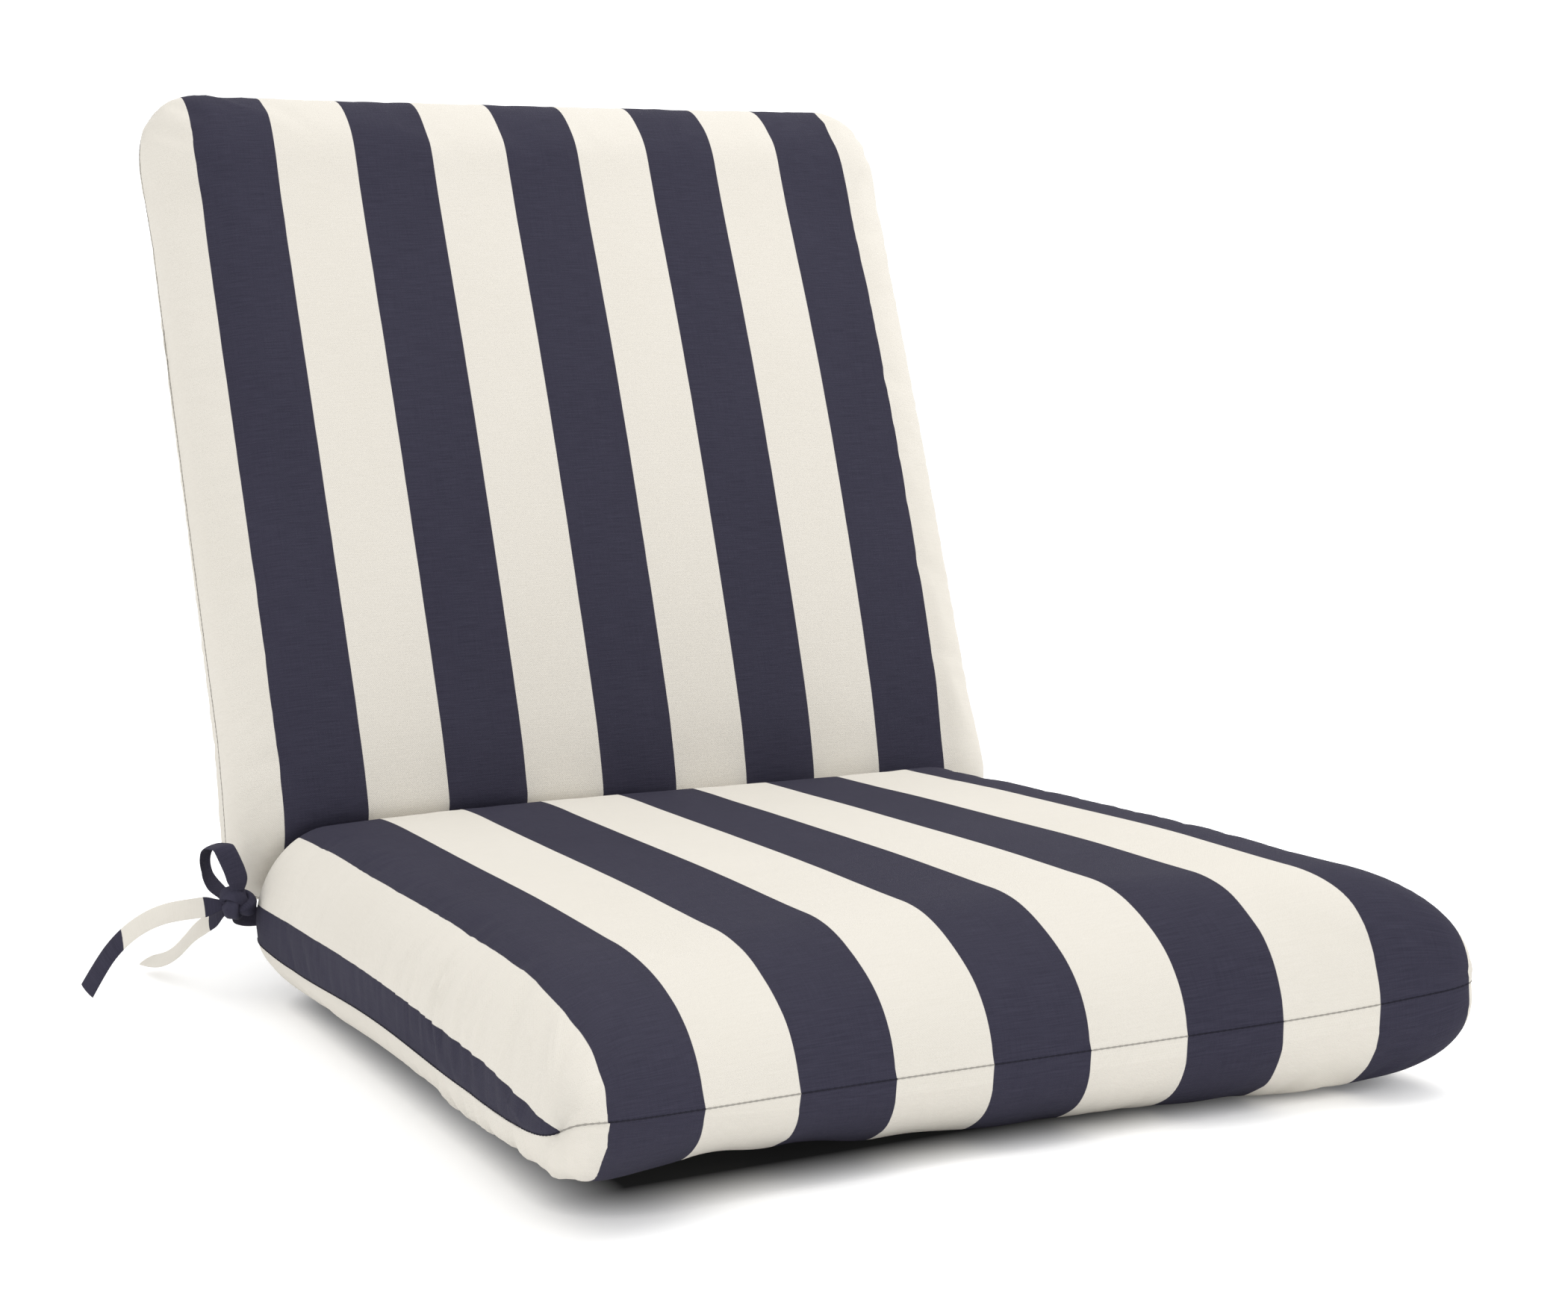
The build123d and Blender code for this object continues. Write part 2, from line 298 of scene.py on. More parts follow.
def grid_faces(rows, columns, wrap=False, flip=False):
    """Quads joining a rows by columns grid of points, wrapping round its columns if asked."""
    i, j = np.meshgrid(np.arange(rows - 1), np.arange(columns if wrap else columns - 1), indexing="ij")
    k = (j + 1) % columns
    quads = [i * columns + j, (i + 1) * columns + j, (i + 1) * columns + k, i * columns + k]
    quads = np.stack(quads, axis=-1).reshape(-1, 4)
    return quads[:, ::-1] if flip else quads


def tube_faces(rows, columns):
    """Quads round a tube of that many rings, and a flat face on each end."""
    ends = [list(range(columns)), [k + (rows - 1) * columns for k in reversed(range(columns))]]
    return grid_faces(rows, columns, wrap=True).tolist() + ends


def ring_faces(rows, columns):
    """Quads joining a grid of points that wraps round both ways."""
    i, j = np.meshgrid(np.arange(rows), np.arange(columns), indexing="ij")
    a, b = (i + 1) % rows, (j + 1) % columns
    quads = [i * columns + j, a * columns + j, a * columns + b, i * columns + b]
    return np.stack(quads, axis=-1).reshape(-1, 4)


def unit(vectors):
    return vectors / np.maximum(np.linalg.norm(vectors, axis=-1, keepdims=True), 1e-12)


def smooth(t):
    """0 below 0, 1 above 1, and 3t^2 - 2t^3 between, level at both ends."""
    t = np.clip(t, 0.0, 1.0)
    return t * t * (3 - 2 * t)


def arc_lengths(points):
    """Distance along a line of points, from its first."""
    return np.concatenate([[0.0], np.cumsum(np.linalg.norm(np.diff(points, axis=0), axis=1))])


# ------------------------------------------------------------------ ties
TAPE_WIDTH, TAPE_THICKNESS = 0.012, 0.0008
# A gathered end opens out over this length, and is this share thicker for the width that it lacks.
GATHERED_OVER, GATHERED_THICKER = 0.012, 1.2
KNOTS = {"left": (-0.264, 0.221, 0.064), "right": (0.264, 0.221, 0.060)}
# Each route's points are from the middle of its knot.
ROUTES = {
    "left_tie_loop": [(0.003, -0.004, 0.005), (0.005, -0.009, 0.012), (-0.002, -0.004, 0.0325),
                      (-0.003, 0.000, 0.034), (-0.006, 0.021, 0.0315), (-0.008, 0.028, 0.020),
                      (-0.005, 0.021, 0.008), (-0.001, 0.006, 0.002)],
    "left_tie_long_tail": [(-0.003, 0.001, -0.0005), (-0.020, 0.008, -0.002), (-0.036, 0.017, -0.005),
                           (-0.049, 0.027, -0.013), (-0.0595, 0.036, -0.0245), (-0.067, 0.045, -0.038),
                           (-0.0735, 0.054, -0.053)],
    "left_tie_short_tail": [(-0.002, 0.006, -0.005), (-0.008, 0.022, -0.014), (-0.012, 0.043, -0.023),
                            (-0.015, 0.066, -0.036), (-0.017, 0.090, -0.046), (-0.019, 0.115, -0.053),
                            (-0.021, 0.138, -0.0565)],
    "right_tie_loop": [(0.001, -0.004, -0.006), (0.004, -0.011, -0.018), (0.006, -0.009, -0.034),
                       (0.008, 0.005, -0.044), (0.009, 0.019, -0.036), (0.007, 0.019, -0.020),
                       (0.003, 0.007, -0.006)],
    "right_tie_long_tail": [(0.001, 0.006, 0.002), (0.004, 0.020, -0.002), (0.007, 0.035, -0.014),
                            (0.010, 0.051, -0.029), (0.013, 0.070, -0.043), (0.012, 0.092, -0.054),
                            (0.005, 0.114, -0.056), (0.004, 0.136, -0.055)],
    "right_tie_short_tail": [(0.005, -0.002, -0.002), (0.018, -0.007, -0.012), (0.027, -0.009, -0.026),
                             (0.033, -0.005, -0.041), (0.037, 0.005, -0.053), (0.036, 0.020, -0.056)],
}
# The direction of each tape's width, at even steps from its start to its end.
TAPE_WIDTHS = {
    "left_tie_loop": [(0.95, -0.1, 0.2), (0.85, -0.1, 0.2), (0.8, 0.5, 0.1), (0.6, 0.8, 0.1),
                      (0.8, 0.5, 0.2)],
    "left_tie_long_tail": [(0.1, 0.3, 0.9), (0.0, 0.5, 0.8), (-0.45, 0.8, 0.5)],
    "left_tie_short_tail": [(0.2, 0.1, 1.0), (0.3, 0.3, 0.9), (0.6, 0.6, 0.2)],
    "right_tie_loop": [(0.9, 0.4, 0.1), (0.9, 0.3, 0.1), (0.9, 0.2, 0.1)],
    "right_tie_long_tail": [(0.9, 0.1, 0.3), (1.0, 0.0, 0.1), (1.0, 0.2, 0.0)],
    "right_tie_short_tail": [(0.1, 1.0, 0.1), (0.1, 1.0, 0.2), (0.9, 0.4, 0.0)],
}
# Where a tape's colour turns, measured out from the cushion's middle, and the cloth coordinate there.
TAPE_TURNS_AT, TAPE_CLOTH = (0.251, 0.2775, 0.3195, 0.351), (0.0, STRIPE / 2, 1.5 * STRIPE, 2 * STRIPE)
# A short tail turns from navy to white once, this far along it.
SHORT_TURN = 0.018
# A knot's size, how far it leans, how far it is set in towards the cushion, and its place in a navy stripe.
KNOT_RADIUS, KNOT_LEAN, KNOT_SET_IN, KNOT_CLOTH = 0.0106, 0.5, 0.0045, 0.008


def route_line(name, points):
    """The points of a smooth NURBS line whose control points are a route's."""
    curve = bpy.data.curves.new(name + "_line", "CURVE")
    curve.dimensions, curve.resolution_u = "3D", 24
    spline = curve.splines.new("NURBS")
    spline.points.add(len(points) - 1)
    for place, point in zip(spline.points, points):
        place.co = (*point, 1.0)
    spline.order_u, spline.use_endpoint_u = 3, True
    holder = bpy.data.objects.new(name + "_line", curve)
    mesh = bpy.data.meshes.new_from_object(holder)
    line = np.array([v.co for v in mesh.vertices], float)
    bpy.data.objects.remove(holder)
    bpy.data.meshes.remove(mesh)
    bpy.data.curves.remove(curve)
    return line


def tape(name, line, widths, gather, cup=0.12):
    """A flat tape: a rounded oblong section carried along the line, its width turned to the given directions.

    At each point the section's width runs along the given direction made square to the line. Its half width
    is half the tape's times a share for each end, which grows from that end's gather to 1. The section is a
    superellipse, bowed by cup times the square of the place across it, and the cut ends stay flat.
    """
    along = arc_lengths(line)
    forward = unit(np.gradient(line, axis=0))
    stations = np.linspace(0.0, along[-1], len(widths))
    hint = [np.interp(along, stations, np.array(widths, float)[:, k]) for k in range(3)]
    hint = np.stack(hint, axis=1)
    across = unit(hint - (hint * forward).sum(1, keepdims=True) * forward)
    above = np.cross(forward, across)
    near, far = (share + (1 - share) * smooth(reach / GATHERED_OVER)
                 for share, reach in zip(gather, (along, along[-1] - along)))
    half = TAPE_WIDTH / 2 * near * far
    turn = np.linspace(0.0, 2 * math.pi, 20, endpoint=False)
    side = np.sign(np.cos(turn)) * np.abs(np.cos(turn)) ** 0.6
    rise = np.sign(np.sin(turn)) * np.abs(np.sin(turn)) ** 0.5
    thick = TAPE_THICKNESS * (1 + GATHERED_THICKER * (1 - half / (TAPE_WIDTH / 2)))
    bow = cup * half[:, None] * (side ** 2 - 0.4)[None, :]
    points = (line[:, None] + across[:, None] * (half[:, None] * side)[..., None]
              + above[:, None] * (thick[:, None] / 2 * rise + bow)[..., None])
    rows, columns = points.shape[:2]
    flat, along = points.reshape(-1, 3), np.repeat(along, columns)
    if "short_tail" in name:
        cloth = np.minimum(along * (STRIPE / 2) / SHORT_TURN, STRIPE)
    else:
        cloth = np.interp(np.abs(flat[:, 0]), TAPE_TURNS_AT, TAPE_CLOTH)
    return mesh_piece(name, flat, tube_faces(rows, columns), STRIPED, np.stack([cloth, along], axis=1))


def knot(name, middle, radius, lean):
    """A tight overhand knot: a bunched tape carried round a trefoil.

    The line is (sin t + 2 sin 2t, -1.3 sin 3t, cos t - 2 cos 2t), scaled to the knot's radius and leaned. The
    section is an oval that swells with five folds and three, which twist as the line goes round.
    """
    t = np.linspace(0.0, 2 * math.pi, 181)[:-1]
    line = [np.sin(t) + 2 * np.sin(2 * t), -np.sin(3 * t) * 1.3, np.cos(t) - 2 * np.cos(2 * t)]
    line = np.stack(line, axis=1) * (radius * np.array([0.235, 0.30, 0.20]))
    c, s = math.cos(lean), math.sin(lean)
    line = line @ np.array([[c, 0, s], [0, 1, 0], [-s, 0, c]]).T
    forward = unit(np.roll(line, -1, axis=0) - np.roll(line, 1, axis=0))
    across = unit(np.cross(forward, unit(line)))
    above = np.cross(across, forward)
    around, t = np.linspace(0.0, 2 * math.pi, 28, endpoint=False)[None, :], t[:, None]
    folds = 1 + 0.07 * np.cos(5 * around + 2 * t) + 0.05 * np.cos(3 * around - 3 * t)
    thick = radius * 0.43 * folds
    points = (line[:, None] + across[:, None] * (thick * np.cos(around) * 1.15)[..., None]
              + above[:, None] * (thick * np.sin(around) * 0.85)[..., None]) + np.array(middle)
    rows, columns = points.shape[:2]
    flat = points.reshape(-1, 3)
    uv = np.stack([np.full(len(flat), KNOT_CLOTH), flat[:, 1] + flat[:, 0]], axis=1)
    return mesh_piece(name, flat, ring_faces(rows, columns), STRIPED, uv)


for name, route in ROUTES.items():
    middle = np.array(KNOTS[name.split("_")[0]])
    line = route_line(name, (middle + np.array(route)).tolist())
    ends = (0.5, 0.5) if name.endswith("loop") else (0.5, 1.0)
    piece = tape(name + "_tape", line, TAPE_WIDTHS[name], ends)
    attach(piece, "seat")
    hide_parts(name)
for side, middle in KNOTS.items():
    out = -1.0 if side == "left" else 1.0
    set_in = np.array(middle) + (-out * KNOT_SET_IN, 0, 0)
    piece = knot(f"{side}_tie_wrapped_knot", set_in, KNOT_RADIUS, -out * KNOT_LEAN)
    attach(piece, "seat")
    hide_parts(f"{side}_tie_knot")
    root = [(out * 0.236, 0.255, 0.0475), (out * 0.246, 0.2515, 0.049), (out * 0.2545, 0.243, 0.053),
            (out * 0.2595, 0.233, 0.057), (out * 0.262, 0.226, middle[2] - 0.002)]
    widths = [(0.0, 0.2, 1.0), (0.1 * out, 0.0, 1.0), (0.2 * out, 0.0, 1.0)]
    piece = tape(f"{side}_tie_sewn_end", route_line(f"{side}_root", root), widths, (0.9, 0.8), cup=0.35)
    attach(piece, "seat")
    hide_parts(f"{side}_tie_root")


# ------------------------------------------------------------------ stuffed sections
# How far the back leans from upright, the covers' grid, the length of one stitch and the thread's radius.
RECLINE, GRID, STITCH, THREAD_RADIUS = math.radians(19.4), 0.004, 0.0032, 0.00036


class Face:
    """One cloth panel of a section: how high it stands off the seam and how wide its rolled edges are.

    side_roll and end_roll have the widths at the left and at the right. side_power has the roundness of each
    side.
    """

    def __init__(self, height, crown, side_roll, hinge_roll, end_roll, side_power=(2.0, 2.0)):
        self.height, self.crown, self.side_power = height, crown, side_power
        self.side_roll, self.hinge_roll, self.end_roll = side_roll, hinge_roll, end_roll


class Section:
    """A stuffed section: where its hinge seam lies, which way it runs, and its seam outline.

    half_width and side_zone have a left and a right value. A zone is the strip in which an edge rolls over,
    and a corner is the power of the superellipse that the seam follows there.
    """

    def __init__(self, name, hinge, along, above, half_width, length, side_zone, hinge_zone, end_zone,
                 hinge_corner, end_corner, upper, lower):
        self.name, self.hinge = name, np.array(hinge)
        self.along, self.above = np.array(along), np.array(above)
        self.half_width, self.length = half_width, length
        self.side_zone, self.hinge_zone, self.end_zone = side_zone, hinge_zone, end_zone
        self.hinge_corner, self.end_corner = hinge_corner, end_corner
        self.upper, self.lower = upper, lower


def eased(at, places, values):
    """A smooth line through values at places, level at each of them."""
    places, values = np.array(places, float), np.array(values, float)
    at = np.clip(at, places[0], places[-1])
    i = np.clip(np.searchsorted(places, at) - 1, 0, len(places) - 2)
    t = (at - places[i]) / (places[i + 1] - places[i])
    return values[i] + (values[i + 1] - values[i]) * smooth(t)


def curve_through(at, places, values, order=6):
    """The polynomial of that order that passes nearest to values at places."""
    middle, reach = (places[0] + places[-1]) / 2, (places[-1] - places[0]) / 2
    nearest = np.polyfit((np.array(places) - middle) / reach, np.array(values), order)
    return np.polyval(nearest, (np.clip(at, places[0], places[-1]) - middle) / reach)


def roll_height(out, zone, roll, power=2.0):
    """Height share, 1 on the flat and 0 at the seam, of a rolled edge.

    The edge zone is first flat, then a quarter superellipse as wide as the roll: the share is (1 - t^p)^(1/p)
    where t is how far out the point is in that quarter and p the power.
    """
    into = np.clip((out * zone - (zone - roll)) / roll, 0.0, 1.0)
    return (1.0 - into ** power) ** (1.0 / power)


def roll_table(zone, roll, height, power=2.0, count=600):
    """Cloth length against how far out, for a rolled edge."""
    out = 1.0 - (1.0 - np.linspace(0.0, 1.0, count)) ** 2
    places = np.stack([out * zone, roll_height(out, zone, roll, power) * height], axis=1)
    return out, arc_lengths(places)


def edge_lines(zone, roll, height, spacing):
    """How far out each grid line lies in a rolled edge, evenly spaced along the cloth."""
    out, cloth = roll_table(zone, roll, height)
    count = max(8, round(cloth[-1] / spacing))
    return np.interp(np.linspace(0.0, cloth[-1], count + 1)[1:], cloth, out)


def section_grid(section, spacing):
    """Grid lines of a section across and along: flat place, and how far out in the edge zone (signed)."""
    top = section.upper
    left, right = (edge_lines(section.side_zone[k], top.side_roll[k], top.height, spacing) for k in (0, 1))
    near = edge_lines(section.hinge_zone, top.hinge_roll, top.height, spacing)
    far = edge_lines(section.end_zone, top.end_roll[0], top.height, spacing)
    low, high = section.side_zone[0] - section.half_width[0], section.half_width[1] - section.side_zone[1]
    across = np.linspace(low, high, round((high - low) / spacing) + 1)
    x_flat = np.concatenate([np.full(len(left), low), across, np.full(len(right), high)])
    x_out = np.concatenate([-left[::-1], np.zeros(len(across)), right])
    low, high = section.hinge_zone, section.length - section.end_zone
    middle = np.linspace(low, high, round((high - low) / spacing) + 1)
    a_flat = np.concatenate([np.full(len(near), low), middle, np.full(len(far), high)])
    a_out = np.concatenate([-near[::-1], np.zeros(len(middle)), far])
    return x_flat, x_out, a_flat, a_out


def cloth_lengths(flat, out, zones, rolls, height):
    """Cloth coordinate of each grid line: its flat place plus the cloth length out over the rolled edge."""
    lengths = np.array(flat, float)
    for sign, zone, roll in ((-1, zones[0], rolls[0]), (1, zones[1], rolls[1])):
        table, cloth = roll_table(zone, roll, height)
        these = out * sign > 0
        lengths[these] += sign * np.interp(np.abs(out[these]), table, cloth)
    return lengths


# The seat's front seam, across it: how far it stands out, and how high it is above the seam at the hinge.
FRONT_AT = (-0.248, -0.225, -0.175, -0.125, -0.075, -0.025, 0.025, 0.075, 0.125, 0.175, 0.210, 0.245)
FRONT_PROUD = (0.036, 0.029, 0.011, 0.002, -0.003, -0.003, 0.000, 0.006, 0.012, 0.021, 0.027, 0.031)
FRONT_LIFT = (0.0125, 0.0075, -0.0020, -0.0065, -0.0095, -0.0115, -0.0105, -0.0085, -0.0075, -0.0045, 0.0,
              0.004)
# The seat's side seams, from the hinge forwards: their height above the seam at the hinge.
SIDE_AT = (0.0, 0.06, 0.17, 0.28, 0.33, 0.39, 0.44, 0.50, 0.53)
SIDE_LIFT = (0.000, -0.009, -0.008, -0.005, -0.005, -0.006, -0.002, 0.007, 0.012)
# How far the seat's underside is off what it rests on along its front.
LIFTED_AT = (-0.250, -0.220, -0.170, -0.120, -0.070, 0.0, 0.150, 0.245)
LIFTED = (0.0155, 0.0185, 0.0165, 0.0115, 0.0065, 0.0030, 0.0015, 0.009)


# The front of the seat starts this far from the hinge, and comes in over this length.
FRONT_FROM, FRONT_OVER = 0.33, 0.15
# How far the right side is drawn in towards the front.
DRAWN_IN = 0.008


def seat_outline(x, a, to_side, to_end):
    """How far the seat is drawn in at the side, how far it stands out in front, and how high its seam is.

    The height is the front seam's near the front and the side seam's near a side, shared by nearness.
    """
    forward = smooth((a - FRONT_FROM) / FRONT_OVER)
    front = to_side / (to_side + to_end + 1e-6) * smooth((a - 0.15) / 0.20)
    lift = (curve_through(x, FRONT_AT, FRONT_LIFT) * front
            + curve_through(a, SIDE_AT, SIDE_LIFT) * (1 - front))
    drawn_in = -DRAWN_IN * smooth((x - 0.10) / 0.12) * smooth((a - 0.16) / 0.30)
    return drawn_in, curve_through(x, FRONT_AT, FRONT_PROUD) * forward ** 2, lift


def back_outline(x, a, to_side, to_end):
    """The back's outline is straight, with the top edge dipping a little between its corners."""
    return 0.0 * x, ((x / 0.25) ** 2 * 0.004 - 0.002) * smooth((a - 0.42) / 0.10), 0.0 * x


def seat_underside(x, a):
    """How far the underside is lifted: only near the front, and most at its corners."""
    return eased(x, LIFTED_AT, LIFTED) * smooth((a - FRONT_FROM) / FRONT_OVER)


SEAT = Section(
    "seat", hinge=(0.0, 0.256, 0.0465), along=(0.0, -1.0, 0.0), above=(0.0, 0.0, 1.0),
    half_width=(0.252, 0.246), length=0.497, side_zone=(0.048, 0.056), hinge_zone=0.046, end_zone=0.090,
    hinge_corner=2.3, end_corner=6.0,
    upper=Face(height=0.0585, crown=0.0025, side_roll=(0.046, 0.056), hinge_roll=0.044,
               end_roll=(0.090, 0.058)),
    lower=Face(height=-0.0465, crown=0.0, side_roll=(0.048, 0.050), hinge_roll=0.044, end_roll=(0.038, 0.038),
               side_power=(1.35, 1.9)))
BACK = Section(
    "back", hinge=(0.0, 0.265794, 0.053434), along=(0.0, math.sin(RECLINE), math.cos(RECLINE)),
    above=(0.0, -math.cos(RECLINE), math.sin(RECLINE)),
    half_width=(0.2540, 0.263), length=0.5212, side_zone=(0.050, 0.050), hinge_zone=0.050, end_zone=0.060,
    hinge_corner=3.6, end_corner=2.5,
    upper=Face(height=0.045, crown=0.0065, side_roll=(0.050, 0.030), hinge_roll=0.050,
               end_roll=(0.060, 0.060)),
    lower=Face(height=-0.046, crown=-0.005, side_roll=(0.050, 0.050), hinge_roll=0.046,
               end_roll=(0.058, 0.058)))
OUTLINES = {"seat": seat_outline, "back": back_outline}
# How far the left and right sides are pinched in at the seam, and how deep the seam lies in its groove.
PINCH, SEAM_GROOVE = {"seat": (0.006, 0.006), "back": (0.005, -0.0015)}, 0.0011
# Where the filling swells or sinks, in millimetres: each row is a power of the place across, each number a
# power of the place along, both as Chebyshev polynomials from -1 to 1 over the given half width and length.
# These numbers were fitted by a program.
SWELLS = {
    "seat": (0.26, 0.54, ((2.97, 6.59, 6.82, 5.24, 4.37, 2.08, 1.13),
                          (3.54, 2.10, 0.99, -1.61, 0.63, -0.49, 0.27),
                          (-0.54, -0.95, -2.70, -0.76, -0.56, 0.31, 0.24),
                          (0.79, -0.20, 0.65, 0.24, -0.30, -0.10, -0.38))),
    "back": (0.262, 0.53, ((-7.27, 3.94, -3.15, 4.72, 0.49, 1.47),
                           (-4.81, 7.85, -5.83, -0.47, 0.40, 0.21),
                           (-6.37, -0.79, -1.17, 1.18, -0.54, 0.24),
                           (0.23, -0.55, -0.47, -0.85, 0.28, -0.24))),
}


def swell(section, x, a):
    """Height added by the filling: its polynomial times 1 less the twelfth power of the place, each way."""
    half, length, table = SWELLS[section.name]
    across, along = np.clip(x / half, -1, 1), np.clip(2 * a / length - 1, -1, 1)
    fade = (1 - np.abs(across) ** 12) * (1 - np.abs(along) ** 12)
    return 0.001 * fade * np.polynomial.chebyshev.chebval2d(across, along, np.array(table))


# The seam's pulls: each sine's spacing and start, their height all round, and their added height where the
# stitching is tightest, on the seat and on the back.
PULLS = ((0.0016, 0.3), (0.0023, 1.9), (0.0034, 4.4))
PULLED, PULLED_TIGHT = 0.0003, {"seat": 0.0021, "back": 0.0003}


def pucker(section, x, a, share):
    """Small pulls in the cloth square to the seam: three sines round it, largest near the left front corner.

    Each sine runs on 0.3 m times the angle about the section's middle, and drifts so that no two pulls match.
    They fade out at the seam itself and where the panel is flat.
    """
    place = np.arctan2((a - section.length / 2), x) * 0.30
    waves = sum(np.sin(place / step + turn + 3 * np.sin(place * 19 + turn)) for step, turn in PULLS) / 3
    near = smooth(share / 0.40) * smooth((0.995 - share) / 0.35)
    tight = np.exp(-((a - 0.77 * section.length) / 0.090) ** 2) * smooth((-x - 0.19) / 0.04)
    return (PULLED + PULLED_TIGHT[section.name] * tight) * waves * near


def panel_points(section, face, lines):
    """Points of one panel, as a grid across by along.

    In plan, a point is its flat place plus its edge zone times how far out it is, drawn in at corners so that
    the seam is a superellipse whose power grows from 2 at the flat to the corner's own at the seam. It stands
    off the seam by the face's height times the height shares of both rolled edges, with a crown over the
    middle. The outline then stands proud or hollow along the far edge, and the sides are pinched at the seam.
    """
    x_flat, x_out, a_flat, a_out = lines
    xo, ao = np.abs(x_out)[:, None], np.abs(a_out)[None, :]
    reach = np.sqrt(np.maximum(1.0 - (1.0 - xo ** 2) * (1.0 - ao ** 2), 0.0))
    corner = np.where(a_out > 0, section.end_corner, section.hinge_corner)[None, :]
    power = 2.0 + (corner - 2.0) * reach ** 2
    norm = np.maximum((xo ** power + ao ** power) ** (1.0 / power), 1e-9)
    draw = np.where(reach > 1e-6, reach / norm, 1.0)
    x_zone = np.where(x_out > 0, section.side_zone[1], section.side_zone[0])[:, None]
    zone = np.where(a_out > 0, section.end_zone, section.hinge_zone)
    x = x_flat[:, None] + x_zone * draw * x_out[:, None]
    a = a_flat[None, :] + zone[None, :] * draw * a_out[None, :]
    fuller = smooth((a_flat + zone * a_out - 0.32) / 0.12)[None, :]
    sides = [roll_height(xo, section.side_zone[k], face.side_roll[k],
                         face.side_power[k] + (2.0 - face.side_power[k]) * fuller) for k in (0, 1)]
    to_right = smooth((x_flat[:, None] - 0.02) / 0.17)
    end_roll = face.end_roll[0] + (face.end_roll[1] - face.end_roll[0]) * to_right
    share = np.where(x_out[:, None] > 0, sides[1], sides[0]) * np.where(
        a_out[None, :] > 0, roll_height(ao, section.end_zone, end_roll),
        roll_height(ao, section.hinge_zone, face.hinge_roll))
    half = np.where(x > 0, section.half_width[1], section.half_width[0])
    crown = face.crown * (1 - (x / half) ** 2) * (1 - (2 * a / section.length - 1) ** 4)
    to_side, to_end = np.maximum(half - np.abs(x), 0.0), np.maximum(section.length - a, 0.0)
    drawn_in, proud, lift = OUTLINES[section.name](x, a, to_side, to_end)
    rest = face.height + (seat_underside(x, a) if section.name == "seat" and face.height < 0 else 0.0)
    height = lift + (rest - lift) * share + crown * share
    if face.height > 0:
        height = height + swell(section, x, a)
    pull = pucker(section, x, a, share)
    height = height + pull * math.copysign(1.0, face.height) * share
    held = np.clip(np.minimum(a, section.length - a) / 0.10, 0.0, 1.0)
    left, right = PINCH[section.name]
    hollow = (np.where(x > 0, right, left) * held * np.exp(-(share / 0.42) ** 2)
              * np.clip(xo * 3 - 2, 0.0, 1.0))
    groove = SEAM_GROOVE * np.exp(-(share / 0.10) ** 2)
    x = x - np.sign(x) * hollow + drawn_in
    side_on = np.clip(xo - ao, -1, 1) * 0.5 + 0.5
    x = x - np.sign(x) * (groove - pull * np.sqrt(1 - share ** 2)) * side_on
    a = a - np.sign(a_out)[None, :] * groove * (1 - side_on)
    return np.stack([x, a + proud, height], axis=-1)


def to_world(section, points):
    """A section's own places (across, along, above) as world points."""
    return (section.hinge + points[..., :1] * np.array([1.0, 0.0, 0.0]) + points[..., 1:2] * section.along
            + points[..., 2:] * section.above)


# The crease is a plane through the hinge, and each section stops this far short of it, flattening softly.
CREASE_PLACE, CREASE_TURN = np.array([0.0, 0.260897, 0.049967]), math.radians(114.13)
CREASE_SIDE = np.array([0.0, math.sin(CREASE_TURN), -math.cos(CREASE_TURN)])
CREASE_GAP, CREASE_SOFT = 0.0002, 0.0012
# Above this height the sections press on each other, which comes in over this length.
PRESSED_FROM, PRESSED_OVER = 0.050, 0.004


def press(points, sign):
    """Keeps a section on its own side of the crease.

    From CREASE_SOFT short of the gap a point is slowed: its way d beyond there becomes s (1 - e^(-d / s)),
    where s is CREASE_SOFT.
    """
    away = (points - CREASE_PLACE) @ CREASE_SIDE * sign
    over = away + CREASE_GAP + CREASE_SOFT
    flattened = CREASE_SOFT * (1 - np.exp(-np.maximum(over, 0) / CREASE_SOFT))
    moved = np.where(over > 0, flattened, over) - CREASE_GAP - CREASE_SOFT
    above = np.clip((points[..., 2] - PRESSED_FROM) / PRESSED_OVER, 0.0, 1.0)
    return points + ((moved - away) * above)[..., None] * CREASE_SIDE * sign


def stuffed(section):
    """World points of both panels of a section, as two grids that share their edge."""
    lines = section_grid(section, GRID)
    upper, lower = (to_world(section, panel_points(section, face, lines))
                    for face in (section.upper, section.lower))
    upper = press(upper, 1 if section.name == "seat" else -1)
    lower[0], lower[-1], lower[:, 0], lower[:, -1] = upper[0], upper[-1], upper[:, 0], upper[:, -1]
    return lines, upper, lower


# The outer stripe edge, and how much of the next stripe the seat's side shows, from the hinge forwards.
OUTER_STRIPE = 5.5 * STRIPE
# How far out the cloth starts to be let out or taken in to meet that edge.
LET_OUT_FROM = {"seat": 4.3 * STRIPE, "back": 4.9 * STRIPE}
STRIP_AT = (0.0, 0.03, 0.07, 0.18, 0.27, 0.33, 0.39, 0.44, 0.50, 0.53)
STRIP_SHOWN = (0.019, 0.021, 0.024, 0.027, 0.023, 0.021, 0.023, 0.019, 0.006, 0.000)


